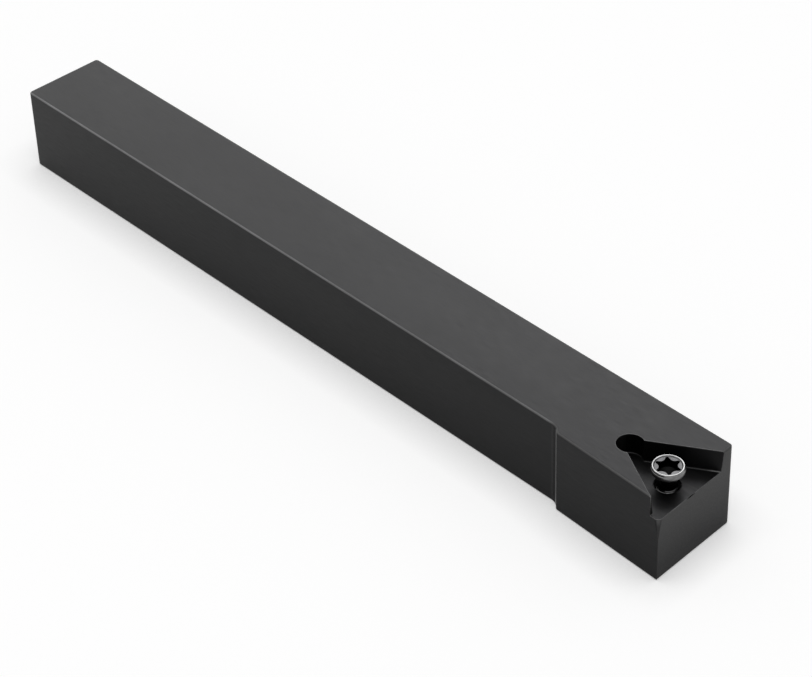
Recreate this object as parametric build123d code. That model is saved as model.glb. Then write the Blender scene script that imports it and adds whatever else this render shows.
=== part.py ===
from build123d import *
import math
import os

# A left-hand turning tool holder for small lathes: a square steel shank with an offset head,
# a three-cornered insert seat milled into the head, and the screw that clamps the insert.
# Frame: millimetres, +Z up, +X along the shank towards the cutting end.
# Origin: middle of the shank's base face, half way along the tool.

# ---- Driving dimensions of the holder -------------------------------------------------------
TOOL_LENGTH = 100.0          # back end to the cutting nose of a fitted insert
SHANK_WIDTH = 10.0
SHANK_HEIGHT = 10.0
NOSE_REACH = 12.0            # far side of the shank to the cutting nose
HEAD_LENGTH = 14.4           # cutting nose back to the crest of the step
HEAD_OFFSET = 0.72           # height of the step: the head starts this far out past the shank
HEAD_FLARE = 2.0             # from the step, the head's side runs out by this many degrees
STEP_ANGLE = 45.0            # slope of the step between shank and head, seen from above
STEP_HOLLOW_RADIUS = 1.6     # cutter radius left in the inner corner of the step
STEP_CREST_RADIUS = 0.3
END_SETBACK = 0.5            # head's end face stands this far behind the cutting nose
END_TURN = 3.4               # end face runs back towards the far side, in degrees
CORNER_ROUND = 0.4           # upright corners of the shank and the head
EDGE_ROUND = 0.2             # long edges, top and bottom

# ---- Insert seat ----------------------------------------------------------------------------
INSERT_CIRCLE = 6.35         # diameter of the circle inside the three-cornered insert
INSERT_HALF_CORNER = 30.0    # half of the insert's corner, in degrees
INSERT_THICKNESS = 2.38
SEAT_CLEARANCE_ANGLE = 7.0   # seat walls lean outwards as the insert's flanks do
SEAT_TURN = 2.3              # the whole seat is turned, so that only the nose cuts the end face
CORNER_RELIEF_RADIUS = 1.41  # round clearance for the insert's inner corner
CORNER_RELIEF_SETBACK = 1.45 # its centre, from the seat's sharp corner along the seat's axis
FOOT_RADIUS = 0.1            # cutter radius where the seat walls meet the floor
WALL_TIP_SETBACK = 1.15      # near wall's thin tip is cut off square, this far behind the end face
NOSE_RELIEF_RADIUS = 0.5     # rounding of the head's corner under the insert's nose
NOSE_RELIEF_DEPTH = 2.4      # the rounding dies out this far below the seat floor

# ---- Insert screw ---------------------------------------------------------------------------
SCREW_LENGTH = 6.5
SCREW_PULL = 0.15            # screw axis lies this far off the insert's centre, to pull it home
THREAD_DIAMETER = 2.5
THREAD_GAP = 0.05            # radial running gap between the screw and its hole
THREAD_START = 2.75          # top of the screw down to the full thread
HEAD_DIAMETER = 3.45
HEAD_BAND = 0.4              # height of the straight band round the head
HEAD_CONE_ANGLE = 60.0       # whole angle of the seating cone
NECK_DIAMETER = 1.9
RIM_WIDTH = 0.34             # flat ring round the top of the head
RIM_BEVEL = 0.05
DISH_STEP = 0.06             # from the ring down to the edge of the dished top
DISH_FALL = 0.1              # from that edge down to the middle
SOCKET_TIP_DIAMETER = 2.45   # across two opposite lobes of the key socket
SOCKET_WAIST_DIAMETER = 1.74
SOCKET_LOBE_RADIUS = 0.17
SOCKET_LOBES = 6
SOCKET_DEPTH = 0.95
SOCKET_TURN = 17.0           # direction of the first lobe, in degrees from +X
SOCKET_POINT_ANGLE = 120.0   # drill point left in the bottom of the socket
TIP_BEVEL = 0.35
HOLE_MOUTH_DIAMETER = 2.76   # small countersink at both ends of the screw hole

# ---- Places worked out from the sizes above -------------------------------------------------
BACK_X = -TOOL_LENGTH / 2
NOSE_X = TOOL_LENGTH / 2
FAR_Y = SHANK_WIDTH / 2
NEAR_Y = -SHANK_WIDTH / 2
HEAD_START_X = NOSE_X - HEAD_LENGTH
HEAD_START_Y = NEAR_Y - HEAD_OFFSET
STEP_START_X = HEAD_START_X - HEAD_OFFSET / math.tan(math.radians(STEP_ANGLE))
END_X = NOSE_X - END_SETBACK
END_Y = HEAD_START_Y - (END_X - HEAD_START_X) * math.tan(math.radians(HEAD_FLARE))
FLOOR_Z = SHANK_HEIGHT - INSERT_THICKNESS

INSERT_SIDE = INSERT_CIRCLE * math.sqrt(3)
NEAR_WALL_ANGLE = SEAT_TURN - INSERT_HALF_CORNER
FAR_WALL_ANGLE = SEAT_TURN + INSERT_HALF_CORNER
HOLE_DIAMETER = THREAD_DIAMETER + 2 * THREAD_GAP
OVERCUT = 1.0                # how far cutting bodies run past the faces they cut
WALL_REACH = 1.5             # the seat cutter's sides, as a multiple of the insert's side


def heading(degrees):
    """Unit vector in plan, turned from +X."""
    angle = math.radians(degrees)
    return Vector(math.cos(angle), math.sin(angle), 0)


NOSE_POINT = Vector(NOSE_X, FAR_Y - NOSE_REACH, 0)
SEAT_AXIS = heading(SEAT_TURN)
SEAT_CORNER = NOSE_POINT - heading(NEAR_WALL_ANGLE) * INSERT_SIDE
SCREW_AXIS_POINT = SEAT_CORNER + SEAT_AXIS * (INSERT_CIRCLE - SCREW_PULL)


# ---- Holder body ----------------------------------------------------------------------------
def end_face_x(y):
    """Where the head's end face crosses a given distance across the tool."""
    return END_X - (y - END_Y) * math.tan(math.radians(END_TURN))


def body_outline():
    """Plan of the shank and the head, with both corners of the step rounded."""
    step_hollow = Vector(STEP_START_X, NEAR_Y, 0)
    step_crest = Vector(HEAD_START_X, HEAD_START_Y, 0)
    outline = Sketch() + Polygon(
        (BACK_X, NEAR_Y),
        step_hollow,
        step_crest,
        (END_X, END_Y),
        (end_face_x(FAR_Y), FAR_Y),
        (BACK_X, FAR_Y),
    )
    for corner, radius in ((step_hollow, STEP_HOLLOW_RADIUS), (step_crest, STEP_CREST_RADIUS)):
        vertex = outline.vertices().sort_by_distance(corner)[0]
        outline = fillet(vertex, radius)
    return outline


def bar():
    """The bar before any pocket: outline raised to full height, corners and edges eased."""
    block = extrude(body_outline(), amount=SHANK_HEIGHT)
    upright = block.edges().filter_by(Axis.Z)
    rounded_corners = [
        Vector(BACK_X, NEAR_Y, SHANK_HEIGHT / 2),
        Vector(BACK_X, FAR_Y, SHANK_HEIGHT / 2),
        Vector(end_face_x(FAR_Y), FAR_Y, SHANK_HEIGHT / 2),
    ]
    corner_edges = [upright.sort_by_distance(corner)[0] for corner in rounded_corners]
    block = fillet(corner_edges, CORNER_ROUND)
    rims = block.faces().filter_by(Axis.Z).edges()
    return fillet(rims, EDGE_ROUND)


def seat_triangle(height):
    """Plan of the seat at one height; its walls lean outwards above the floor."""
    lean = (SHANK_HEIGHT - height) * math.tan(math.radians(SEAT_CLEARANCE_ANGLE))
    corner = SEAT_CORNER + SEAT_AXIS * (lean / math.sin(math.radians(INSERT_HALF_CORNER)))
    reach = INSERT_SIDE * WALL_REACH
    near_end = corner + heading(NEAR_WALL_ANGLE) * reach
    far_end = corner + heading(FAR_WALL_ANGLE) * reach
    plan = Polygon((corner.X, corner.Y), (near_end.X, near_end.Y), (far_end.X, far_end.Y))
    return Pos(0, 0, height) * plan


def seat_cutter():
    """Everything milled away for the insert: drafted seat, corner relief, squared wall tip."""
    top = SHANK_HEIGHT + OVERCUT
    pocket = loft([seat_triangle(FLOOR_Z), seat_triangle(top)], ruled=True)
    relief_centre = SEAT_CORNER + SEAT_AXIS * CORNER_RELIEF_SETBACK
    relief_plan = Pos(relief_centre.X, relief_centre.Y, FLOOR_Z) * Circle(CORNER_RELIEF_RADIUS)
    cutter = pocket + extrude(relief_plan, amount=top - FLOOR_Z)
    foot = cutter.faces().sort_by(Axis.Z)[0].edges()
    return fillet(foot, FOOT_RADIUS) + wall_tip_cutter(top - FLOOR_Z)


def wall_tip_cutter(height):
    """Squares off the thin wedge where the near wall runs out through the head's side."""
    width = WALL_TIP_SETBACK + OVERCUT
    block = Box(width, 2 * OVERCUT, height, align=(Align.MIN, Align.CENTER, Align.MIN))
    return Pos(END_X - WALL_TIP_SETBACK, END_Y, FLOOR_Z) * block


def nose_relief_cutter():
    """Cone-shaped rounding of the upright corner under the nose, widest at the seat floor."""
    corner = Vector(END_X, END_Y, 0)
    along_side = heading(180 - HEAD_FLARE)
    along_end = heading(90 + END_TURN)
    half_angle = math.radians(90 - HEAD_FLARE - END_TURN) / 2
    growth = (NOSE_RELIEF_DEPTH + OVERCUT) / NOSE_RELIEF_DEPTH
    radius = NOSE_RELIEF_RADIUS * growth
    tangent = radius / math.tan(half_angle)
    inward = (along_side + along_end).normalized()
    centre = corner + inward * (radius / math.sin(half_angle))
    side_touch = corner + along_side * tangent
    end_touch = corner + along_end * tangent
    beyond = corner - inward * tangent
    outline = Line(side_touch, beyond) + Line(beyond, end_touch)
    outline += ThreePointArc(end_touch, centre - inward * radius, side_touch)
    section = Pos(0, 0, FLOOR_Z + OVERCUT) * make_face(outline)
    tip = Vertex(corner.X, corner.Y, FLOOR_Z - NOSE_RELIEF_DEPTH)
    return loft([tip, section], ruled=True)


def screw_hole_cutter():
    """Tapped hole right through the head, at its running size, with a countersunk mouth."""
    radius = HOLE_DIAMETER / 2
    mouth = HOLE_MOUTH_DIAMETER / 2
    bevel = mouth - radius
    profile = Polyline(
        (0, -OVERCUT),
        (mouth, -OVERCUT),
        (mouth, 0),
        (radius, bevel),
        (radius, FLOOR_Z - bevel),
        (mouth, FLOOR_Z),
        (mouth, FLOOR_Z + OVERCUT),
        (0, FLOOR_Z + OVERCUT),
        close=True,
    )
    cutter = revolve(make_face(Plane.XZ * profile), Axis.Z)
    return Pos(SCREW_AXIS_POINT.X, SCREW_AXIS_POINT.Y, 0) * cutter


def holder_body():
    return bar() - seat_cutter() - nose_relief_cutter() - screw_hole_cutter()


# ---- Insert screw ---------------------------------------------------------------------------
def screw_blank():
    """Turned form of the screw about +Z, with the top of its head at zero."""
    head = HEAD_DIAMETER / 2
    neck = NECK_DIAMETER / 2
    thread = THREAD_DIAMETER / 2
    rim = head - RIM_WIDTH
    cone_height = (head - neck) / math.tan(math.radians(HEAD_CONE_ANGLE / 2))
    profile = Polyline(
        (0, -DISH_STEP - DISH_FALL),
        (rim - DISH_STEP, -DISH_STEP),
        (rim, 0),
        (head - RIM_BEVEL, 0),
        (head, -RIM_BEVEL),
        (head, -HEAD_BAND),
        (neck, -HEAD_BAND - cone_height),
        (neck, -THREAD_START + (thread - neck)),
        (thread, -THREAD_START),
        (thread, -SCREW_LENGTH + TIP_BEVEL),
        (thread - TIP_BEVEL, -SCREW_LENGTH),
        (0, -SCREW_LENGTH),
        close=True,
    )
    return revolve(make_face(Plane.XZ * profile), Axis.Z)


def socket_outline():
    """Six-lobed key outline: each tip arc runs into the next waist arc without a corner."""
    tip = SOCKET_TIP_DIAMETER / 2
    waist = SOCKET_WAIST_DIAMETER / 2
    step = 360 / SOCKET_LOBES
    lobe_centre = tip - SOCKET_LOBE_RADIUS
    spread = lobe_centre * math.cos(math.radians(step / 2))
    waist_radius = (lobe_centre**2 + waist**2 - 2 * spread * waist - SOCKET_LOBE_RADIUS**2) / (
        2 * (SOCKET_LOBE_RADIUS - waist + spread)
    )

    def join(lobe_angle, waist_angle):
        """Where two neighbouring arcs meet, on the line between their centres."""
        lobe_point = heading(lobe_angle) * lobe_centre
        waist_point = heading(waist_angle) * (waist + waist_radius)
        return lobe_point + (waist_point - lobe_point).normalized() * SOCKET_LOBE_RADIUS

    outline = Curve()
    for lobe in range(SOCKET_LOBES):
        middle = SOCKET_TURN + lobe * step
        before, after = middle - step / 2, middle + step / 2
        outline += ThreePointArc(join(middle, before), heading(middle) * tip, join(middle, after))
        outline += ThreePointArc(join(middle, after), heading(after) * waist, join(middle + step, after))
    return outline


def socket_cutter():
    """Key socket with a shallow drill point at its bottom."""
    well = extrude(make_face(socket_outline()), amount=-SOCKET_DEPTH)
    point_radius = SOCKET_WAIST_DIAMETER / 2
    point_height = point_radius / math.tan(math.radians(SOCKET_POINT_ANGLE / 2))
    drill_point = Cone(0, point_radius, point_height, align=(Align.CENTER, Align.CENTER, Align.MAX))
    return well + Pos(0, 0, -SOCKET_DEPTH) * drill_point


def insert_screw():
    screw = screw_blank() - socket_cutter()
    return Pos(SCREW_AXIS_POINT.X, SCREW_AXIS_POINT.Y, SHANK_HEIGHT) * screw


os.makedirs("parts", exist_ok=True)
for name, piece in (("holder_body", holder_body()), ("insert_screw", insert_screw())):
    export_step(piece, f"parts/{name}.step")
    print(name, "volume", round(piece.volume, 2), "mm3")
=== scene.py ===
# %% [markdown]
# A left-hand turning tool holder: a square steel shank with an offset head, a three-cornered
# pocket for the insert, and the small screw that clamps it. The construction is already made,
# as solids of real size, so this script starts by loading them as a fixed frame. Everything it
# adds is in metres, in that same frame: +X points to the cutting end, -Y is the side that faces
# the work, and Z is zero at the base of the shank.

# %% Load the frame
import math

import bpy
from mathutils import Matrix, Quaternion, Vector


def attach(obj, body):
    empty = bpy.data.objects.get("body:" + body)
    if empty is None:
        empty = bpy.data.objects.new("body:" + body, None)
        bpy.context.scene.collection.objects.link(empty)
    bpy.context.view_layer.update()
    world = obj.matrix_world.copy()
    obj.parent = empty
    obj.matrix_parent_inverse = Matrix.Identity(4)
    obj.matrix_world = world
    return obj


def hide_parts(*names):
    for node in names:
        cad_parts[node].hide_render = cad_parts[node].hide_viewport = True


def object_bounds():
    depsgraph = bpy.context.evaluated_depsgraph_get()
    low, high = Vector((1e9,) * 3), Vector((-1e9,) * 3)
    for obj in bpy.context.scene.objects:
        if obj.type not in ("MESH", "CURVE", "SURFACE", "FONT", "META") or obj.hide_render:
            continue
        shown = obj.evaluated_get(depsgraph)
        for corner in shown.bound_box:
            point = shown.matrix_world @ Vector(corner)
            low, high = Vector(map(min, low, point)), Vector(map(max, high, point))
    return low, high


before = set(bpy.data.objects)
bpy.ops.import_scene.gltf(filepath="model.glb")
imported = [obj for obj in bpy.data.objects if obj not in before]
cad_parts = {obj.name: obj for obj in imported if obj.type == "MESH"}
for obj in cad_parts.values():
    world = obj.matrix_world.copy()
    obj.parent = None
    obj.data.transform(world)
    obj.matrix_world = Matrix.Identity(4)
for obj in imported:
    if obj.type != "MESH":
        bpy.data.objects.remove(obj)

MM = 0.001                   # one millimetre, in metres

bpy.context.view_layer.update()
cad_low, cad_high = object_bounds()
print("frame box in mm:", [round(value / MM, 2) for value in (*cad_low, *cad_high)])

# %% [markdown]
# Steel this dark shows its shape through edges and reflections, so the viewpoint comes first:
# every later choice is judged from it. The camera stands in front of the cutting end, looks
# down on the tool, and leans by two degrees. It is close for its size, so the shank tapers in
# perspective. A long lens on a full-frame sensor gives that view without distortion. The lean is
# a turn about the camera's own viewing axis, made after it has been aimed.

# %% Camera
SENSOR_WIDTH = 36.0          # mm
LENS_LENGTH = 120.0          # mm
CAMERA_TARGET = Vector((9.768, -1.612, 5.0)) * MM
CAMERA_AZIMUTH = 48.04       # degrees round from the -Y side towards +X
CAMERA_ELEVATION = 38.14     # degrees above the floor
CAMERA_LEAN = -2.05          # degrees
CAMERA_DISTANCE = 282.1 * MM
CAMERA_REACH = (0.01, 20.0)  # m, nearest and farthest that it sees


def direction(azimuth, elevation):
    """Unit vector from the object towards a viewer or a lamp."""
    a, e = math.radians(azimuth), math.radians(elevation)
    return Vector((math.sin(a) * math.cos(e), -math.cos(a) * math.cos(e), math.sin(e)))


def aim(thing, target, towards, distance, lean=0.0):
    """Puts a camera or lamp at a distance from its target and points it there."""
    thing.location = target + towards * distance
    thing.rotation_mode = "QUATERNION"
    turn = Quaternion((0, 0, 1), math.radians(lean))
    thing.rotation_quaternion = (-towards).to_track_quat("-Z", "Y") @ turn


camera_data = bpy.data.cameras.new("camera")
camera_data.sensor_width = SENSOR_WIDTH
camera_data.lens = LENS_LENGTH
camera_data.clip_start, camera_data.clip_end = CAMERA_REACH
camera = bpy.data.objects.new("camera", camera_data)
bpy.context.scene.collection.objects.link(camera)
view_from = direction(CAMERA_AZIMUTH, CAMERA_ELEVATION)
aim(camera, CAMERA_TARGET, view_from, CAMERA_DISTANCE, CAMERA_LEAN)
bpy.context.scene.camera = camera
bpy.context.scene.view_settings.view_transform = "Standard"
print("camera stands at", [round(value / MM, 1) for value in camera.location], "mm")

# %% [markdown]
# The studio is a pale table in a white room. The table and the room are white where the camera
# or a reflection sees them, which the Light Path node tells apart from the light that they
# give, so the backdrop is clean and the metal is not over-lit. The table's colour is a sum: a
# share that glows by itself, and a share that takes real light and so keeps the soft shadow
# beside the tool. The table is clear from underneath, and to a reflection that starts on it, so
# that the tool's base can be looked at too and mirrors the room as the other sides do.

# %% Helpers for node trees
def node(tree, kind, **settings):
    """A shader node with its settings."""
    made = tree.nodes.new(kind)
    for name, value in settings.items():
        setattr(made, name, value)
    return made


def link(tree, source, target):
    tree.links.new(source, target)


def arithmetic(tree, operation, first, second):
    """One step of arithmetic; each side is a socket or a plain number."""
    made = node(tree, "ShaderNodeMath", operation=operation)
    for index, value in enumerate((first, second)):
        if isinstance(value, (int, float)):
            made.inputs[index].default_value = value
        else:
            link(tree, value, made.inputs[index])
    return made.outputs[0]


def surface(tree, kind, **inputs):
    """A shader of one kind, with its inputs set by name."""
    made = node(tree, kind)
    for name, value in inputs.items():
        made.inputs[name].default_value = value
    return made.outputs[0]


def mix_surfaces(tree, share, first, second):
    """The first shader where the share is zero, and the second where it is one."""
    made = node(tree, "ShaderNodeMixShader")
    for index, source in enumerate((share, first, second)):
        link(tree, source, made.inputs[index])
    return made.outputs[0]


def sees_backdrop(tree):
    """One for camera, glossy and transmission rays, and zero for the rays that carry light."""
    ray = node(tree, "ShaderNodeLightPath").outputs
    bounced = arithmetic(tree, "MAXIMUM", ray["Is Glossy Ray"], ray["Is Transmission Ray"])
    return arithmetic(tree, "MAXIMUM", ray["Is Camera Ray"], bounced)


# %% Room
WHITE = (1.0, 1.0, 1.0, 1.0)
ROOM_LIGHT = 0.3             # strength of the even light from all round

room = bpy.data.worlds.new("white_room")
bpy.context.scene.world = room
room.use_nodes = True
tree = room.node_tree
tree.nodes.clear()
given = surface(tree, "ShaderNodeBackground", Color=WHITE, Strength=ROOM_LIGHT)
seen = surface(tree, "ShaderNodeBackground", Color=WHITE, Strength=1.0)
out = node(tree, "ShaderNodeOutputWorld")
link(tree, mix_surfaces(tree, sees_backdrop(tree), given, seen), out.inputs["Surface"])
print("room light", ROOM_LIGHT)

# %% Table
TABLE_SIZE = 6.0             # m, far past what any view takes in
TABLE_GLOW = 0.29            # share of the table's white that no shadow takes away
TABLE_WHITE = 0.84           # the rest, as a surface colour under the studio's light
TABLE_PALE = 0.8             # the plain colour that lights the tool from below
TOUCHING = 0.00002           # m: a ray shorter than this starts where the tool rests


def grey(value):
    return (value, value, value, 1.0)


def sees_through(tree):
    """One from underneath, and for a ray that starts on the table itself."""
    below = node(tree, "ShaderNodeNewGeometry").outputs["Backfacing"]
    length = node(tree, "ShaderNodeLightPath").outputs["Ray Length"]
    return arithmetic(tree, "MAXIMUM", below, arithmetic(tree, "LESS_THAN", length, TOUCHING))


def table_material():
    material = bpy.data.materials.new("pale_table")
    material.use_nodes = True
    tree = material.node_tree
    tree.nodes.clear()
    plain = surface(tree, "ShaderNodeBsdfDiffuse", Color=grey(TABLE_PALE))
    shaded = surface(tree, "ShaderNodeBsdfDiffuse", Color=grey(TABLE_WHITE))
    glow = surface(tree, "ShaderNodeEmission", Strength=TABLE_GLOW)
    seen = node(tree, "ShaderNodeAddShader")
    link(tree, shaded, seen.inputs[0])
    link(tree, glow, seen.inputs[1])
    top = mix_surfaces(tree, sees_backdrop(tree), plain, seen.outputs[0])
    clear = surface(tree, "ShaderNodeBsdfTransparent")
    out = node(tree, "ShaderNodeOutputMaterial")
    link(tree, mix_surfaces(tree, sees_through(tree), top, clear), out.inputs["Surface"])
    return material


bpy.ops.object.select_all(action="DESELECT")
bpy.ops.mesh.primitive_plane_add(size=TABLE_SIZE, location=(0, 0, cad_low.z))
table = bpy.context.object
table.name = "table"
table.data.materials.append(table_material())
print("table", [round(value, 2) for value in table.dimensions], "m")

# %% [markdown]
# Dark satin metal shows almost nothing of its own colour: it shows what stands around it. One
# wide panel hangs straight above and gives the real light, so the shadow is narrow and lies
# close round the foot of the tool. Two white cards stand behind it. A photographer uses such
# cards only to be mirrored: here they are hidden from diffuse light, so they put no light on
# the table, and only the metal shows them. One card lifts the top face above the sides, and the
# smaller, brighter one is placed where the screw's polished rim and the worn edges catch it.

# %% Lamps
def softbox(name, azimuth, elevation, distance, size, radiance, card=False):
    """A square panel of even light, in degrees and metres; radiance is how bright it looks."""
    lamp = bpy.data.lights.new(name, "AREA")
    lamp.shape = "SQUARE"
    lamp.size = size
    lamp.energy = radiance * math.pi * size * size
    box = bpy.data.objects.new(name, lamp)
    bpy.context.scene.collection.objects.link(box)
    aim(box, Vector((0, 0, 0)), direction(azimuth, elevation), distance)
    box.visible_camera = False
    box.visible_diffuse = not card
    print(name, "radiance", radiance, "gives", round(lamp.energy, 2), "W")


softbox("top_panel", azimuth=0, elevation=90, distance=0.9, size=0.84, radiance=2.5)
softbox("back_card", azimuth=238, elevation=34, distance=0.9, size=0.7, radiance=1.97, card=True)
softbox("head_card", azimuth=208, elevation=40, distance=0.9, size=0.5, radiance=4.6, card=True)

# %% [markdown]
# The holder is steel with a black oxide skin: a chemical finish, not paint, so it is thin, dark
# and satin, and the ground surface underneath shows through it as fine lines along the shank.
# Wherever the skin is handled or knocked it wears first on the edges. The thin, broken light
# lines on the edges are partly that wear and partly painted highlight, and other layers paint
# light and shade into the colour as well. A metallic shader with a very dark colour gives the
# look, because such a surface reflects little face-on and more at a glancing angle. An image
# could hold all of this, but nodes that read the spot's place in space keep it sharp at any
# distance and free of seams.

# %% Helpers for masks
BEVEL_SAMPLES = 8            # directions that a Bevel node looks in for an edge


def axes(tree, vector):
    """The X, Y and Z of a vector, as sockets by name."""
    split = node(tree, "ShaderNodeSeparateXYZ")
    link(tree, vector, split.inputs[0])
    return split.outputs


def ramp(tree, source, from_low, from_high, to_low, to_high):
    """Maps one range onto another and holds the ends."""
    made = node(tree, "ShaderNodeMapRange")
    for name, value in (
        ("From Min", from_low),
        ("From Max", from_high),
        ("To Min", to_low),
        ("To Max", to_high),
    ):
        made.inputs[name].default_value = value
    link(tree, source, made.inputs["Value"])
    return made.outputs["Result"]


def fade(tree, length, start, end, first, last):
    """A ramp along a length, which starts and ends at places given in mm."""
    return ramp(tree, length, start * MM, end * MM, first, last)


def product(tree, first, *others):
    """Several shares multiplied together."""
    for other in others:
        first = arithmetic(tree, "MULTIPLY", first, other)
    return first


def edge_mask(tree, radius, low, high):
    """Near one on sharp edges and zero on flats, by how far a rounded direction leans away."""
    rounded = node(tree, "ShaderNodeBevel", samples=BEVEL_SAMPLES)
    rounded.inputs["Radius"].default_value = radius
    true = node(tree, "ShaderNodeNewGeometry")
    dot = node(tree, "ShaderNodeVectorMath", operation="DOT_PRODUCT")
    link(tree, rounded.outputs["Normal"], dot.inputs[0])
    link(tree, true.outputs["True Normal"], dot.inputs[1])
    return ramp(tree, dot.outputs["Value"], high, low, 0.0, 1.0)


# %% Helpers for colour and relief
def noise(tree, scale, detail=2.0):
    """Noise between 0 and 1; scale is the repeats per metre along X, Y and Z."""
    place = node(tree, "ShaderNodeTexCoord")
    stretch = node(tree, "ShaderNodeMapping")
    stretch.inputs["Scale"].default_value = scale
    link(tree, place.outputs["Object"], stretch.inputs["Vector"])
    made = node(tree, "ShaderNodeTexNoise")
    made.inputs["Scale"].default_value = 1.0
    made.inputs["Detail"].default_value = detail
    link(tree, stretch.outputs["Vector"], made.inputs["Vector"])
    return made.outputs["Fac"]


def mix_colours(tree, share, first, second):
    """Blend of two colours; each is a socket or a plain (r, g, b)."""
    made = node(tree, "ShaderNodeMix", data_type="RGBA")
    link(tree, share, made.inputs[0])
    for index, value in ((6, first), (7, second)):
        if isinstance(value, tuple):
            made.inputs[index].default_value = (*value, 1.0)
        else:
            link(tree, value, made.inputs[index])
    return made.outputs[2]


def bump(tree, height, distance, strength, normal=None):
    """Small relief in the surface; distance is its real depth."""
    made = node(tree, "ShaderNodeBump")
    made.inputs["Strength"].default_value = strength
    made.inputs["Distance"].default_value = distance
    link(tree, height, made.inputs["Height"])
    if normal is not None:
        link(tree, normal, made.inputs["Normal"])
    return made.outputs["Normal"]


def new_metal(name):
    """A metal with its output wired up; returns the material, its tree and its shader."""
    material = bpy.data.materials.new(name)
    material.use_nodes = True
    tree = material.node_tree
    tree.nodes.clear()
    shader = node(tree, "ShaderNodeBsdfPrincipled")
    shader.inputs["Metallic"].default_value = 1.0
    out = node(tree, "ShaderNodeOutputMaterial")
    link(tree, shader.outputs[0], out.inputs["Surface"])
    return material, tree, shader


# %% [markdown]
# The skin is laid on in the order in which a real one comes about: first the even skin with its
# faint clouds, then what use has done to it, with painted light and shade laid in among those
# layers. Each layer is a mix of two colours, and its share is a mask made from where the spot
# lies and which way its surface faces. The Bevel node gives that direction with every sharp edge
# rounded off, so the masks that read it find the edges as well, and the light that the edges
# catch comes out soft.

# %% Plain skin
OXIDE_DARK = (0.0090, 0.0090, 0.0093)
OXIDE_LIGHT = (0.0130, 0.0130, 0.0133)
CLOUDS = (90, 260, 260)      # repeats per metre: clouds drawn out along the shank
SOFTENING = 0.16             # mm, how far from a sharp edge the rounding reaches

black_oxide, tree, shader = new_metal("blackened_steel")
place = node(tree, "ShaderNodeTexCoord").outputs["Object"]
spot = axes(tree, place)
softened = node(tree, "ShaderNodeBevel", samples=BEVEL_SAMPLES)
softened.inputs["Radius"].default_value = SOFTENING * MM
facing = axes(tree, softened.outputs["Normal"])

skin = mix_colours(tree, noise(tree, CLOUDS, detail=3.0), OXIDE_DARK, OXIDE_LIGHT)
print("plain skin in", len(tree.nodes), "nodes")

# %% [markdown]
# Three slow changes from place to place are painted light and shade. The sides are darker low
# down, a painted shade of the foot; the end face is lighter higher up, a painted light; and the
# sides are lighter near the back end, a painted light too. A ramp along one axis is enough for
# each. A second ramp, on the direction, keeps it off the faces that it doesn't reach: the
# painted shade off the top and the flat base, and the painted light at the back end off the top.

# %% Painted shade low down, and painted light on the end face and back end
PAINTED_FOOT_SHADE = (0.0045, 0.0045, 0.0048)   # low on the sides: painted shade
PAINTED_END_FACE_LIGHT = (0.030, 0.030, 0.030)      # high on the end face: painted light
PAINTED_BACK_END_LIGHT = (0.020, 0.020, 0.020)      # sides near the back end: painted light
TOPWARD = (0.2, 0.6)         # upright part of the direction, from a side to a top
BASEWARD = (-0.95, -0.80)    # and from the base to a side
ENDWARD = (0.85, 0.97)       # its part along the shank, from a side to the end face
FOOT_SHADE_HEIGHTS = (0.0, 7.5)   # mm
FOOT_SHADE_SHARE = 0.75           # of the painted shade's colour, at the base
END_LIGHT_HEIGHTS = (1.5, 7.5)    # mm
BACK_LIGHT_STRETCH = (-50, -18)    # mm along the shank
BACK_LIGHT_SHARE = 0.55            # of the painted light's colour, at the back end

off_top = ramp(tree, facing["Z"], *TOPWARD, 1.0, 0.0)
off_base = ramp(tree, facing["Z"], *BASEWARD, 0.0, 1.0)
foot_shade = fade(tree, spot["Z"], *FOOT_SHADE_HEIGHTS, FOOT_SHADE_SHARE, 0.0)
skin = mix_colours(tree, product(tree, off_top, off_base, foot_shade), skin, PAINTED_FOOT_SHADE)

on_end = ramp(tree, facing["X"], *ENDWARD, 0.0, 1.0)
chips = fade(tree, spot["Z"], *END_LIGHT_HEIGHTS, 0.0, 1.0)
skin = mix_colours(tree, product(tree, on_end, chips), skin, PAINTED_END_FACE_LIGHT)

back_light = fade(tree, spot["X"], *BACK_LIGHT_STRETCH, BACK_LIGHT_SHARE, 0.0)
skin = mix_colours(tree, product(tree, off_top, back_light), skin, PAINTED_BACK_END_LIGHT)
print("grime and rubbing make it", len(tree.nodes), "nodes")

# %% [markdown]
# The edges are painted lighter: partly the skin worn thin, since everything touches them first,
# and partly a painted highlight where they catch the light from above. On a rounded edge the
# upright and the level part of the direction are both large, so their product peaks half way
# round and is zero on every flat. With no bevel in the mesh, that is all it takes to draw a line
# along each edge. It is negative on an edge that faces down, which therefore stays dark, and
# edges lower down, such as those at the foot of the seat's walls, show little.

# %% Worn skin and painted highlight on the edges
EDGE_WEAR_AND_HIGHLIGHT = (0.060, 0.060, 0.060)
EDGE_LEAN = (0.12, 0.40)     # out of 0.5, which is half way round a square edge
UPPER_EDGES = (9.0, 9.2)     # mm, heights between which the edges come into reach
SHELTERED = 0.15             # share that shows on the edges lower down
NOSE_STRETCH = (47.6, 48.4)  # mm along the shank: from here every edge gets the full share, wear and painted highlight alike

level = arithmetic(tree, "SUBTRACT", 1.0, product(tree, facing["Z"], facing["Z"]))
level = arithmetic(tree, "SQRT", level, 0.0)
lean = ramp(tree, product(tree, facing["Z"], level), *EDGE_LEAN, 0.0, 1.0)
high_up = fade(tree, spot["Z"], *UPPER_EDGES, SHELTERED, 1.0)
on_nose = fade(tree, spot["X"], *NOSE_STRETCH, 0.0, 1.0)
edges = product(tree, lean, arithmetic(tree, "MAXIMUM", high_up, on_nose))
# wear and painted highlight along the upward edges
skin = mix_colours(tree, edges, skin, EDGE_WEAR_AND_HIGHLIGHT)
print("edges make it", len(tree.nodes), "nodes")
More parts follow.
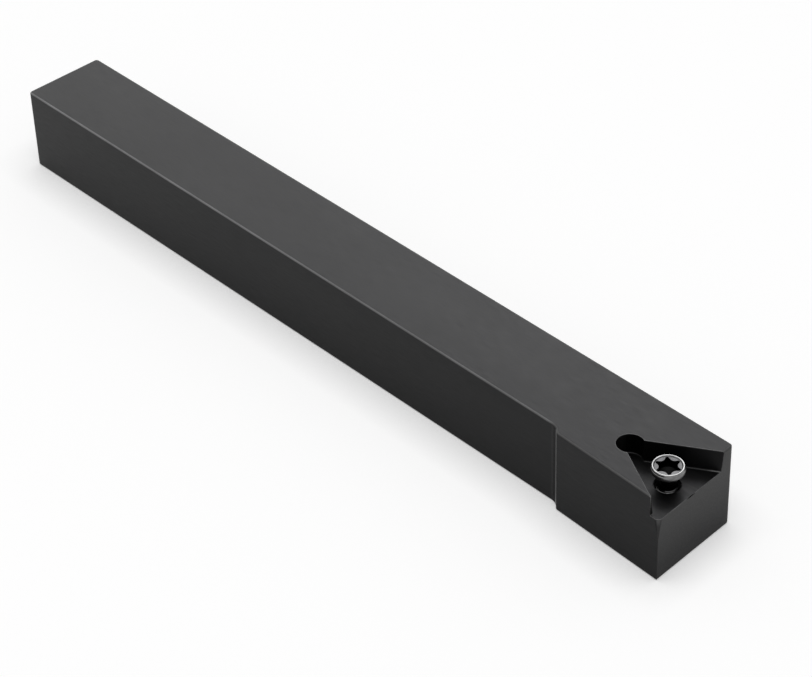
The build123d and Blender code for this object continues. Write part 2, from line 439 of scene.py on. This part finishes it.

# %% [markdown]
# Two upright features show best in the softened direction. Where the head stands out from the
# shank there is a small step: its hollow holds grime, which is kept for the roughness further
# on, and its crest gets a painted highlight. The corner below the nose faces half way between
# the end and the side, and gets a painted highlight that is lighter the nearer it comes to the
# seat. Its mask is a product of the two level parts, so it also finds the opposite corner, at
# the far side of the back end, and paints the highlight there too.

# %% Step and nose corner
STEP_CREST_HIGHLIGHT = (0.13, 0.13, 0.13)
STEP_SIDE = (-5.05, -4.95)   # mm across: outside this is the head's overhang
STEP_STRETCH = (30, 31)      # mm along the shank: well before the step
HOLLOW_FACING = (-0.25, -0.05)          # how far the direction turns back along the shank
CREST_FACING = (-0.56, -0.46)
CORNER_HIGHLIGHT = (0.060, 0.060, 0.060)
CORNER_FACING = (-0.45, -0.15)          # out of -0.5, which is half way round the corner
CORNER_LOW = 0.43            # share of the corner's painted highlight, away from the seat
CORNER_RISE = 0.6            # mm, height over which it lightens up to the seat
SEAT_LEVEL = 7.4             # mm, just under the seat's floor
SEAT_BLEND = 0.1             # mm, height over which a mask gives way at the seat

outside = fade(tree, spot["Y"], *STEP_SIDE, 1.0, 0.0)
overhang = product(tree, outside, fade(tree, spot["X"], *STEP_STRETCH, 0.0, 1.0))
hollow = product(tree, overhang, ramp(tree, facing["X"], *HOLLOW_FACING, 1.0, 0.0))
step_highlight = product(tree, overhang, ramp(tree, facing["X"], *CREST_FACING, 1.0, 0.0))
# painted highlight on the step's crest
skin = mix_colours(tree, step_highlight, skin, STEP_CREST_HIGHLIGHT)

corner = ramp(tree, product(tree, facing["X"], facing["Y"]), *CORNER_FACING, 1.0, 0.0)
rising = fade(tree, spot["Z"], SEAT_LEVEL - CORNER_RISE, SEAT_LEVEL, CORNER_LOW, 1.0)
seat_mouth = SEAT_LEVEL + SEAT_BLEND
under = fade(tree, spot["Z"], seat_mouth, seat_mouth + SEAT_BLEND, 1.0, 0.0)
# painted highlight on the corner below the nose
skin = mix_colours(tree, product(tree, corner, rising, under), skin, CORNER_HIGHLIGHT)
print("step and corner make it", len(tree.nodes), "nodes")

# %% [markdown]
# On the shank the edges are painted lighter still: partly worn through to the metal, and partly
# a painted highlight, as they use the same edge mask that lights only the upward edges. That
# mask
# is made weaker by several shares: it ends at the head, it is stronger on the side towards the
# work and at the far end, where the tool is gripped, and it is broken up by noise, because a
# line that is even all along looks drawn.

# %% Worn edges and painted highlight
BARE_STEEL_AND_HIGHLIGHT = (0.170, 0.170, 0.172)
SHANK_END = (33.6, 34.6)     # mm along the shank, up to where the head begins
GRIP_WIDTH = (-1, 1)         # mm across, between the two sides
FAR_SIDE = 0.25              # share of the wear on the far side
HANDLED_STRETCH = (-45, 20)  # mm along the shank
NEAR_HEAD = 0.42             # share of the wear near the head
PATCHES = (160, 400, 400)    # repeats per metre
PATCH_RANGE = (0.38, 0.62)   # of the noise, from a sound patch to a worn one
PATCH_LEAST = 0.6            # share of the wear in a sound patch

shank = fade(tree, spot["X"], *SHANK_END, 1.0, 0.0)
gripped = fade(tree, spot["Y"], *GRIP_WIDTH, 1.0, FAR_SIDE)
handled = fade(tree, spot["X"], *HANDLED_STRETCH, 1.0, NEAR_HEAD)
patches = ramp(tree, noise(tree, PATCHES, detail=4.0), *PATCH_RANGE, PATCH_LEAST, 1.0)
wear_and_highlight = product(tree, edges, shank, gripped, handled, patches)
# bare steel and painted highlight on the upward shank edges
skin = mix_colours(tree, wear_and_highlight, skin, BARE_STEEL_AND_HIGHLIGHT)
print("worn edges make it", len(tree.nodes), "nodes")

# %% [markdown]
# The edges of the seat are sharp, and they face every way, so they are found by a second kind of
# mask: it compares the true direction with a rounded one, and the two differ only within a
# hair's breadth of an edge. Those edges are painted lighter, as a painted highlight broken up by
# noise. The seat's front edge also has a nick, where it was knocked, and it is painted black, as
# painted shade in the dent. It is drawn as a long, thin ball: a Mapping node moves, turns and
# squeezes space until that shape becomes a ball of radius one, and a little noise makes its
# outline ragged.

# %% Seat edges and nick
SEAT_EDGE_HIGHLIGHT = (0.140, 0.140, 0.142)
SEAT_EDGE_WIDTH = 0.10 * MM
SEAT_EDGE_LEAN = (0.80, 0.97)           # agreement of the two directions, on an edge and off it
CHIPS = (700, 900, 900)      # repeats per metre
CHIP_RANGE = (0.40, 0.65)    # of the noise, from chipped to whole
CHIP_LEAST = 0.25            # share of the edge's light in a chip
NICK_PLACE = Vector((49.21, -1.35, 7.61)) * MM
NICK_SIZE = Vector((0.055, 0.60, 0.09)) * MM    # half its length along each axis
NICK_TURN = 3.4              # degrees, as the end face is turned
NICK_PAINTED_SHADE = (0.0, 0.0, 0.0)
NICK_GRAIN = (6000, 6000, 6000)         # repeats per metre
NICK_RANGE = (1.3, 1.6)      # distance with noise added, from inside the nick to outside

edge = edge_mask(tree, SEAT_EDGE_WIDTH, *SEAT_EDGE_LEAN)
above = fade(tree, spot["Z"], SEAT_LEVEL, seat_mouth, 0.0, 1.0)
chipped = ramp(tree, noise(tree, CHIPS, detail=3.0), *CHIP_RANGE, CHIP_LEAST, 1.0)
# painted highlight along the seat's edges
skin = mix_colours(tree, product(tree, edge, above, chipped), skin, SEAT_EDGE_HIGHLIGHT)

squeeze = node(tree, "ShaderNodeMapping", vector_type="TEXTURE")
squeeze.inputs["Location"].default_value = NICK_PLACE
squeeze.inputs["Rotation"].default_value = (0, 0, math.radians(NICK_TURN))
squeeze.inputs["Scale"].default_value = NICK_SIZE
link(tree, place, squeeze.inputs["Vector"])
reach = node(tree, "ShaderNodeVectorMath", operation="LENGTH")
link(tree, squeeze.outputs["Vector"], reach.inputs[0])
ragged = arithmetic(tree, "ADD", reach.outputs["Value"], noise(tree, NICK_GRAIN))
nick = ramp(tree, ragged, *NICK_RANGE, 1.0, 0.0)
# the nick is real; its black is painted shade in the dent
skin = mix_colours(tree, nick, skin, NICK_PAINTED_SHADE)
link(tree, skin, shader.inputs["Base Color"])
print("seat edges and nick make it", len(tree.nodes), "nodes")

# %% [markdown]
# The satin comes from the roughness. Noise that is drawn out eighteen times as long as it is
# wide stands for the grinding lines. It drives both the roughness and a relief of two
# thousandths of a millimetre, so the lines catch the light where they are rough. An even noise
# adds the tiny pits of the oxide. Grime in the hollow of the step and in the nick is duller.

# %% Satin and grain
GRINDING = (500, 9000, 9000) # repeats per metre
GRINDING_RANGE = (0.3, 0.7)  # of the noise
SATIN = (0.36, 0.46)         # roughness, from the smoothest line to the roughest
GRIME_DULL = 0.25            # roughness that grime adds
PITS = (4200, 4200, 4200)    # repeats per metre
RELIEF = 0.002 * MM
GRAIN_STRENGTH = 0.35        # share of the relief that the lines have
PIT_STRENGTH = 0.25          # and the pits

lines = noise(tree, GRINDING)
satin = ramp(tree, lines, *GRINDING_RANGE, *SATIN)
dirty = arithmetic(tree, "MAXIMUM", arithmetic(tree, "SUBTRACT", hollow, step_highlight), nick)
dull = product(tree, dirty, GRIME_DULL)
link(tree, arithmetic(tree, "ADD", satin, dull), shader.inputs["Roughness"])
grain = bump(tree, lines, RELIEF, GRAIN_STRENGTH, softened.outputs["Normal"])
pitted = bump(tree, noise(tree, PITS, detail=1.0), RELIEF, PIT_STRENGTH, grain)
link(tree, pitted, shader.inputs["Normal"])

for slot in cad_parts["holder_body"].material_slots:
    slot.material = black_oxide
print("holder_body is now", black_oxide.name, "in", len(tree.nodes), "nodes")

# %% [markdown]
# The clamping screw is a small machine screw: a cone under its head pulls the insert down and
# back into the corner of its seat. The real one is turned, its thread is rolled and its key
# socket is struck by a punch. The model follows the same order. The thread comes first, because
# everything else grows out of its two ends. One pitch of thread is traced as a line of edges,
# and the Screw modifier winds it round the axis, rising by one pitch each turn, which is exactly
# what a thread is. It is wound longer than needed, tapered at the ends, and then cut flat.

# %% Helpers for tracing and winding
WELD = 1e-6                  # m: closer than any two real corners, even on a part this small
SEAM = WELD / 4              # m, for corners that the wound thread has twice
AXIS = (0.0, 0.0, 0.0)       # turned pieces are built round the world's own axis, then moved


def choose(piece):
    """Makes one piece the only one selected, and the active one."""
    bpy.ops.object.select_all(action="DESELECT")
    piece.select_set(True)
    bpy.context.view_layer.objects.active = piece


def edit(piece):
    """Opens one piece for editing, with nothing in it selected."""
    choose(piece)
    bpy.ops.object.mode_set(mode="EDIT")
    bpy.ops.mesh.select_all(action="DESELECT")


def close_edit():
    bpy.ops.object.mode_set(mode="OBJECT")


def single_vertex(name):
    """A piece of one vertex on the axis, open for editing and selected."""
    bpy.ops.object.select_all(action="DESELECT")
    bpy.ops.mesh.primitive_plane_add(size=MM, location=AXIS)
    piece = bpy.context.object
    piece.name = name
    bpy.ops.object.mode_set(mode="EDIT")
    bpy.ops.mesh.merge(type="CENTER")
    return piece


def trace(name, corners):
    """A line of edges beside the axis, drawn from one (radius, height) to the next."""
    piece = single_vertex(name)
    bpy.ops.transform.translate(value=Vector((corners[0][0], 0, corners[0][1])) * MM)
    for (radius, height), (next_radius, next_height) in zip(corners, corners[1:]):
        step = Vector((next_radius - radius, 0, next_height - height)) * MM
        bpy.ops.mesh.extrude_region_move(TRANSFORM_OT_translate={"value": step})
    close_edit()
    return piece


def wind(piece, pitch, turns, steps):
    """Winds a one-pitch profile up the axis into a right-hand thread."""
    screw = piece.modifiers.new("thread", "SCREW")
    screw.axis = "Z"
    screw.angle = 2 * math.pi
    screw.screw_offset = pitch * MM
    screw.iterations = turns
    screw.steps = screw.render_steps = steps
    screw.use_merge_vertices = True
    screw.merge_threshold = WELD
    choose(piece)
    bpy.ops.object.modifier_apply(modifier=screw.name)
    edit(piece)
    bpy.ops.mesh.select_all(action="SELECT")
    bpy.ops.mesh.remove_doubles(threshold=SEAM)
    close_edit()


# %% Helpers for turning
ON_PLANE = WELD / 10         # m: a corner this near a cut counts as lying on it


def limit_radius(piece, least, most):
    """Tapers a wound thread: least and most give the radius allowed at a height, in mm."""
    for vertex in piece.data.vertices:
        radius = math.hypot(vertex.co.x, vertex.co.y) / MM
        height = vertex.co.z / MM
        kept = min(max(radius, least(height)), most(height))
        vertex.co.x *= kept / radius
        vertex.co.y *= kept / radius


def cut_flat(piece, height, keep_above):
    """Cuts the piece square to its axis and leaves the new rim selected in edit mode."""
    edit(piece)
    bpy.ops.mesh.select_all(action="SELECT")
    bpy.ops.mesh.bisect(
        plane_co=(0, 0, height * MM),
        plane_no=(0, 0, 1),
        clear_inner=keep_above,
        clear_outer=not keep_above,
        threshold=ON_PLANE,
    )


def turn_profile(corners):
    """Carries the selected rim through (radius, height) corners, as a lathe tool would."""
    for (radius, height), (next_radius, next_height) in zip(corners, corners[1:]):
        rise = Vector((0, 0, next_height - height)) * MM
        bpy.ops.mesh.extrude_region_move(TRANSFORM_OT_translate={"value": rise})
        scale = next_radius / radius
        bpy.ops.transform.resize(value=(scale, scale, 1), center_override=AXIS)
    if corners[-1][0] == 0:
        bpy.ops.mesh.merge(type="CENTER")
    close_edit()


# %% Helpers for finishing
SHARP_ANGLE = 25             # degrees: a crease sharper than this stays a crease


def face_outwards(piece):
    """Welds the piece's seams and turns every face to the outside."""
    edit(piece)
    bpy.ops.mesh.select_all(action="SELECT")
    bpy.ops.mesh.remove_doubles(threshold=SEAM)
    bpy.ops.mesh.normals_make_consistent(inside=False)
    close_edit()


def finish_piece(piece, place):
    """Moves a piece to its place, with the move in its mesh, and smooths its round faces."""
    choose(piece)
    piece.location = place
    bpy.ops.object.transform_apply(location=True, rotation=True, scale=True)
    bpy.ops.object.shade_smooth_by_angle(angle=math.radians(SHARP_ANGLE))
    sizes = [round(value / MM, 3) for value in piece.dimensions]
    print(piece.name, "faces", len(piece.data.polygons), "size in mm", sizes)


# %% Screw axis and thread sizes
solid_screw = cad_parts["insert_screw"]
solid_corners = [solid_screw.matrix_world @ Vector(corner) for corner in solid_screw.bound_box]
SCREW_TOP = max(corner.z for corner in solid_corners) / MM
SCREW_TIP = min(corner.z for corner in solid_corners) / MM
SCREW_PLACE = sum(solid_corners, Vector()) / len(solid_corners)
SCREW_PLACE.z = 0.0

# these and all sizes of the turned pieces are in mm
THREAD_PITCH = 0.45
THREAD_STEPS = 96            # facets round one turn
THREAD_FLANK = 30.0          # degrees between a flank and the plane square to the axis
RUN_OUT = THREAD_PITCH / 4   # height at a thread's end that has no ridge at all


def thread_profile(outer, inner, outer_flat, start):
    """One pitch of thread, from the middle of one outer flat to the middle of the next."""
    flank = (outer - inner) * math.tan(math.radians(THREAD_FLANK))
    half = outer_flat / 2
    return [
        (outer, start),
        (outer, start + half),
        (inner, start + half + flank),
        (inner, start + THREAD_PITCH - half - flank),
        (outer, start + THREAD_PITCH - half),
        (outer, start + THREAD_PITCH),
    ]


def turns_between(low, high):
    """Whole turns, as (first, count), that cover a stretch of the axis with a turn to spare."""
    first = math.floor(low / THREAD_PITCH) - 1
    return first, math.ceil(high / THREAD_PITCH) - first


print("screw from", round(SCREW_TIP, 2), "to", round(SCREW_TOP, 2), "at", SCREW_PLACE / MM)

# %% Clamping screw
BOLT_CREST = 1.25            # radius of the thread's ridges
BOLT_ROOT = 0.975            # and of its grooves
BOLT_CREST_FLAT = THREAD_PITCH / 8      # height of the flat on a ridge
BOLT_TIP = 0.9               # radius of the flat end
BOLT_SHOULDER = 1.01         # plain ring that the thread runs out into, under the neck
HEAD_DEPTH = 2.53            # from the top down to the shoulder
SHOULDER_TOP = SCREW_TOP - HEAD_DEPTH
SHOULDER_FROM = SHOULDER_TOP - RUN_OUT
HEAD_PROFILE = [             # (radius, depth below the top)
    (BOLT_SHOULDER, HEAD_DEPTH),
    (0.95, 2.45),            # neck
    (0.95, 1.742),
    (1.285, 1.115),          # cone
    (1.40, 0.95),
    (1.53, 0.85),            # round of the head
    (1.65, 0.71),
    (1.70, 0.59),
    (1.71, 0.45),
    (1.70, 0.32),
    (1.67, 0.25),
    (1.63, 0.21),            # groove under the rim
    (1.63, 0.15),
    (1.61, 0.07),            # rim
    (1.56, 0.01),
    (1.50, 0.00),
    (1.45, 0.01),
    (1.415, 0.05),
    (1.39, 0.12),            # groove inside the rim
    (1.365, 0.14),
    (1.345, 0.10),
    (0.0, 0.20),             # dish
]


def bolt_core(height):
    """Least radius: the flat end's low down, and the plain shoulder's at the top."""
    return BOLT_SHOULDER if height > SHOULDER_FROM else BOLT_TIP


def bolt_envelope(height):
    """Greatest radius: bevelled in towards the flat end, and running out to the shoulder."""
    at_tip = BOLT_TIP + max(height - SCREW_TIP - RUN_OUT, 0)
    at_shoulder = BOLT_SHOULDER + max(SHOULDER_FROM - height, 0)
    return min(at_tip, at_shoulder, BOLT_CREST)


first, turns = turns_between(SCREW_TIP, SHOULDER_TOP)
bolt_start = first * THREAD_PITCH
bolt_profile = thread_profile(BOLT_CREST, BOLT_ROOT, BOLT_CREST_FLAT, bolt_start)
clamp_screw = trace("clamp_screw", bolt_profile)
wind(clamp_screw, THREAD_PITCH, turns, THREAD_STEPS)
limit_radius(clamp_screw, bolt_core, bolt_envelope)
cut_flat(clamp_screw, SCREW_TIP, keep_above=True)
turn_profile([(BOLT_TIP, SCREW_TIP), (0.0, SCREW_TIP)])
cut_flat(clamp_screw, SHOULDER_TOP, keep_above=False)
turn_profile([(radius, SCREW_TOP - depth) for radius, depth in HEAD_PROFILE])
face_outwards(clamp_screw)
print("clamp_screw turned, with", turns, "turns of thread wound")

# %% [markdown]
# The key socket is a six-lobed form: round lobes that run smoothly into round waists. Two
# circles touch smoothly where their centres and the touching point lie on one line, which fixes
# the waists' radius. One vertex is spun round each centre in turn to draw the outline, as with a
# pair of compasses, and the outline is then pulled up into a cutter. A Boolean takes it out of
# the head. The real socket is drilled before it is punched, so the drill's point is left below
# its flat bottom, and a cone cuts that in the same way.

# %% Key form
SOCKET_LOBES = 6
SOCKET_TIP = 1.325           # from the axis to the tip of a lobe
SOCKET_WAIST = 0.925         # and to the waist between two lobes
LOBE_RADIUS = 0.20           # of the arc round a lobe's tip
SOCKET_TURN = 17.0           # direction of the first lobe, in degrees from +X
HALF_LOBE = 180 / SOCKET_LOBES
LOBE_CENTRE = SOCKET_TIP - LOBE_RADIUS

spread = LOBE_CENTRE * math.cos(math.radians(HALF_LOBE))
apart = LOBE_CENTRE**2 + SOCKET_WAIST**2 - 2 * spread * SOCKET_WAIST - LOBE_RADIUS**2
WAIST_RADIUS = apart / (2 * (LOBE_RADIUS - SOCKET_WAIST + spread))
WAIST_CENTRE = SOCKET_WAIST + WAIST_RADIUS


def around(degrees, radius):
    """The point at a radius from the axis, in a direction counted from +X."""
    angle = math.radians(degrees)
    return Vector((math.cos(angle) * radius, math.sin(angle) * radius, 0))


def join(lobe_angle, waist_angle):
    """Where the arc of a lobe runs into the arc of the waist beside it."""
    lobe_point = around(lobe_angle, LOBE_CENTRE)
    away = (around(waist_angle, WAIST_CENTRE) - lobe_point).normalized()
    return lobe_point + away * LOBE_RADIUS


print("socket waists have a radius of", round(WAIST_RADIUS, 3), "mm")

# %% Key socket
SOCKET_DEPTH = 0.95
ARC_STEPS = 8                # edges in each arc of the outline
POINT_DEPTH = 0.48           # drill point in the bottom of the socket
POINT_WIDTH = 0.96           # its radius, as a share of the socket's waist
POINT_STEPS = 48
OVERLAP = 0.01               # how far the point's cutter starts inside the socket


def swing(centre, start, end):
    """Spins the selected vertex round a centre, from one point to another."""
    angle = (start - centre).to_2d().angle_signed((end - centre).to_2d())
    bpy.ops.mesh.spin(steps=ARC_STEPS, angle=angle, center=centre * MM, axis=(0, 0, 1))


def socket_cutter():
    """The key form, as a solid that stands through the top of the head."""
    cutter = single_vertex("socket_cutter")
    bpy.ops.transform.translate(value=join(SOCKET_TURN, SOCKET_TURN - HALF_LOBE) * MM)
    for lobe in range(SOCKET_LOBES):
        middle = SOCKET_TURN + 2 * HALF_LOBE * lobe
        before = middle - HALF_LOBE
        after = middle + HALF_LOBE
        beyond_waist = middle + 2 * HALF_LOBE
        swing(around(middle, LOBE_CENTRE), join(middle, before), join(middle, after))
        swing(around(after, WAIST_CENTRE), join(middle, after), join(beyond_waist, after))
    bpy.ops.mesh.select_all(action="SELECT")
    bpy.ops.mesh.remove_doubles(threshold=WELD)
    bpy.ops.mesh.edge_face_add()
    bpy.ops.transform.translate(value=(0, 0, (SCREW_TOP - SOCKET_DEPTH) * MM))
    rise = (0, 0, 2 * SOCKET_DEPTH * MM)
    bpy.ops.mesh.extrude_region_move(TRANSFORM_OT_translate={"value": rise})
    bpy.ops.mesh.select_all(action="SELECT")
    bpy.ops.mesh.normals_make_consistent(inside=False)
    close_edit()
    return cutter


def cut_away(piece, cutter):
    """Takes the cutter's form out of the piece and removes the cutter."""
    boolean = piece.modifiers.new("cut", "BOOLEAN")
    boolean.operation = "DIFFERENCE"
    boolean.solver = "EXACT"
    boolean.object = cutter
    choose(piece)
    bpy.ops.object.modifier_apply(modifier=boolean.name)
    bpy.data.objects.remove(cutter)


cut_away(clamp_screw, socket_cutter())
bpy.ops.mesh.primitive_cone_add(
    vertices=POINT_STEPS,
    radius1=0,
    radius2=POINT_WIDTH * SOCKET_WAIST * MM,
    depth=POINT_DEPTH * MM,
    location=(0, 0, (SCREW_TOP - SOCKET_DEPTH - POINT_DEPTH / 2 + OVERLAP) * MM),
)
cut_away(clamp_screw, bpy.context.object)
finish_piece(clamp_screw, SCREW_PLACE)

# %% [markdown]
# The hole under the screw is tapped: a drill goes through the head, and a tap then cuts its
# thread into the wall. The same helpers make it, turned inside out. Both threads are wound from
# the same height, so the screw's ridges lie in the hole's grooves with a little play, as they
# do in the real fit. The sleeve that carries the thread is sunk into the solid wall round it.

# %% Tapped thread
TAP_GROOVE = 1.27            # radius of the thread's grooves
TAP_RIDGE = 1.04             # and of its ridges
TAP_GROOVE_FLAT = 0.072      # height of the flat in a groove
HOLE_WALL = 1.3              # radius of the plain hole in the solid
HOLE_BEVEL = 0.08            # height of the small countersink at both mouths
CONE_SLOPE = 0.54            # radius per height of the cone that comes down into the hole
SLEEVE_SUNK = 0.03           # how far the sleeve's back goes into the solid
SLEEVE_SHORT = 0.01          # how far it stays inside the countersinks
SEAT_DEPTH = 2.38            # the insert's thickness
SEAT_FLOOR = SCREW_TOP - SEAT_DEPTH


def tap_clearance(height):
    """Least radius left free: by a bevel at the base, and for the screw's cone at the seat."""
    from_base = max(height - HOLE_BEVEL - RUN_OUT, 0)
    from_seat = max(SEAT_FLOOR - height - HOLE_BEVEL - RUN_OUT, 0)
    return max(TAP_RIDGE, HOLE_WALL - from_base, HOLE_WALL - from_seat * CONE_SLOPE)


sleeve_low = HOLE_BEVEL + SLEEVE_SHORT
sleeve_high = SEAT_FLOOR - HOLE_BEVEL - SLEEVE_SHORT
sleeve_back = HOLE_WALL + SLEEVE_SUNK
first, turns = turns_between(sleeve_low, sleeve_high)
tap_start = first * THREAD_PITCH
tap_profile = thread_profile(TAP_GROOVE, TAP_RIDGE, TAP_GROOVE_FLAT, tap_start)
hole_thread = trace("hole_thread", tap_profile)
wind(hole_thread, THREAD_PITCH, turns, THREAD_STEPS)
limit_radius(hole_thread, tap_clearance, lambda height: HOLE_WALL)
cut_flat(hole_thread, sleeve_low, keep_above=True)
turn_profile([(HOLE_WALL, sleeve_low), (sleeve_back, sleeve_low)])
cut_flat(hole_thread, sleeve_high, keep_above=False)
turn_profile([(HOLE_WALL, sleeve_high), (sleeve_back, sleeve_high)])
edit(hole_thread)
bpy.ops.mesh.select_non_manifold()
bpy.ops.mesh.bridge_edge_loops()
close_edit()
face_outwards(hole_thread)
finish_piece(hole_thread, SCREW_PLACE)

# %% [markdown]
# The screw's head is the one bright thing on the tool. It is turned, so it carries fine rings
# round its own axis. The ring that stands highest is polished by hands and keys, the dish inside
# it stays darker, and the cone below it is a little rougher. Further down, out of reach, the
# screw keeps the same black skin as the holder, rubbed through only on the crests of its thread.
# One material does all of this by reading where each spot lies: how far it is from the screw's
# axis, and how deep it is below the top. The polished ring mirrors the brighter card, so its
# own colour is a little darker than the rim's and it still comes out brightest.

# %% Distances on the screw
def beyond(tree, length, limit, blend):
    """Zero below a limit and one above it; the blend is how far the change reaches each way."""
    return fade(tree, length, limit - blend, limit + blend, 0.0, 1.0)


turned_steel, tree, shader = new_metal("turned_steel")
spot = axes(tree, node(tree, "ShaderNodeTexCoord").outputs["Object"])
east = arithmetic(tree, "SUBTRACT", spot["X"], SCREW_PLACE.x)
north = arithmetic(tree, "SUBTRACT", spot["Y"], SCREW_PLACE.y)
squares = arithmetic(tree, "ADD", product(tree, east, east), product(tree, north, north))
from_axis = arithmetic(tree, "SQRT", squares, 0.0)
depth = arithmetic(tree, "SUBTRACT", SCREW_TOP * MM, spot["Z"])
print("distances in", len(tree.nodes), "nodes")

# %% Rim, polished ring and dish
RIM_STEEL = (0.20, 0.20, 0.20)
POLISHED_STEEL = (0.145, 0.145, 0.145)
DISH_STEEL = (0.032, 0.032, 0.033)
STAINED_STEEL = (0.03, 0.03, 0.03)
DISH_EDGE = (1.40, 0.01)     # each edge is its distance from the axis and its blend, in mm
RING_INNER = (1.42, 0.01)
RING_OUTER = (1.545, 0.02)
STAINS = (1500, 1500, 1500)  # repeats per metre
STAIN_RANGE = (0.40, 0.75)   # of the noise, from clean to stained
STAIN_SHARE = 0.6            # of the stain's colour, where it is darkest

steel = mix_colours(tree, beyond(tree, from_axis, *DISH_EDGE), DISH_STEEL, RIM_STEEL)
outer = beyond(tree, from_axis, *RING_OUTER)
ring = arithmetic(tree, "SUBTRACT", beyond(tree, from_axis, *RING_INNER), outer)
steel = mix_colours(tree, ring, steel, POLISHED_STEEL)
stains = ramp(tree, noise(tree, STAINS, detail=3.0), *STAIN_RANGE, 0.0, STAIN_SHARE)
steel = mix_colours(tree, stains, steel, STAINED_STEEL)
print("rim and dish make it", len(tree.nodes), "nodes")

# %% Thread and socket
THREAD_STEEL = (0.10, 0.10, 0.10)       # crests, rubbed by the tapped hole
BLACK_STEEL = (0.008, 0.008, 0.008)     # neck and thread roots
SOCKET_STEEL = (0.003, 0.003, 0.003)    # inside of the socket, in its own shade
THREAD_RUBBED = (0.98, 0.015)           # from the axis, with its blend, in mm
SOCKET_EDGE = (SOCKET_TIP + 0.02, 0.01)
SOCKET_DARK = (0.24, 0.03)   # below the top, with its blend, in mm
BRIGHT_DEPTH = (1.45, 0.04)  # and where the bright head ends

rubbed = beyond(tree, from_axis, *THREAD_RUBBED)
thread = mix_colours(tree, rubbed, BLACK_STEEL, THREAD_STEEL)
out_of_reach = beyond(tree, depth, *BRIGHT_DEPTH)
steel = mix_colours(tree, out_of_reach, steel, thread)

within = arithmetic(tree, "SUBTRACT", 1.0, beyond(tree, from_axis, *SOCKET_EDGE))
deep = arithmetic(tree, "SUBTRACT", beyond(tree, depth, *SOCKET_DARK), out_of_reach)
steel = mix_colours(tree, product(tree, within, deep), steel, SOCKET_STEEL)
link(tree, steel, shader.inputs["Base Color"])
print("thread and socket make it", len(tree.nodes), "nodes")

# %% Polish and turned rings
MATT_DEPTH = (0.28, 0.05)    # mm below the top, where the rim gives way to the cone
MATT = 0.2                   # roughness that the cone has over the polished rim
SCUFFS = (3000, 3000, 3000)  # repeats per metre
SCUFF_RANGE = (0.3, 0.7)     # of the noise
POLISH = (0.13, 0.21)        # roughness of the rim
RING_PITCH = 0.035           # mm between turned rings
RING_RELIEF = 0.0006 * MM
RING_STRENGTH = 0.5          # share of the relief that the rings have

polish = ramp(tree, noise(tree, SCUFFS), *SCUFF_RANGE, *POLISH)
cone = arithmetic(tree, "SUBTRACT", beyond(tree, depth, *MATT_DEPTH), out_of_reach)
matt = product(tree, cone, MATT)
link(tree, arithmetic(tree, "ADD", polish, matt), shader.inputs["Roughness"])
phase = product(tree, from_axis, 2 * math.pi / (RING_PITCH * MM))
rings = arithmetic(tree, "SINE", phase, 0.0)
link(tree, bump(tree, rings, RING_RELIEF, RING_STRENGTH), shader.inputs["Normal"])

clamp_screw.data.materials.append(turned_steel)
hole_thread.data.materials.append(black_oxide)
print("clamp_screw is now", turned_steel.name, "in", len(tree.nodes), "nodes")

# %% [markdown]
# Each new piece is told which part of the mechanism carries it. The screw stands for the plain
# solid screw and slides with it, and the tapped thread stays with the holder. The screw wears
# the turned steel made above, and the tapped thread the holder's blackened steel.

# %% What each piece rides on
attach(clamp_screw, "screw")
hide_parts("insert_screw")
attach(hole_thread, "holder")
print("clamp_screw rides on screw, hole_thread on holder")
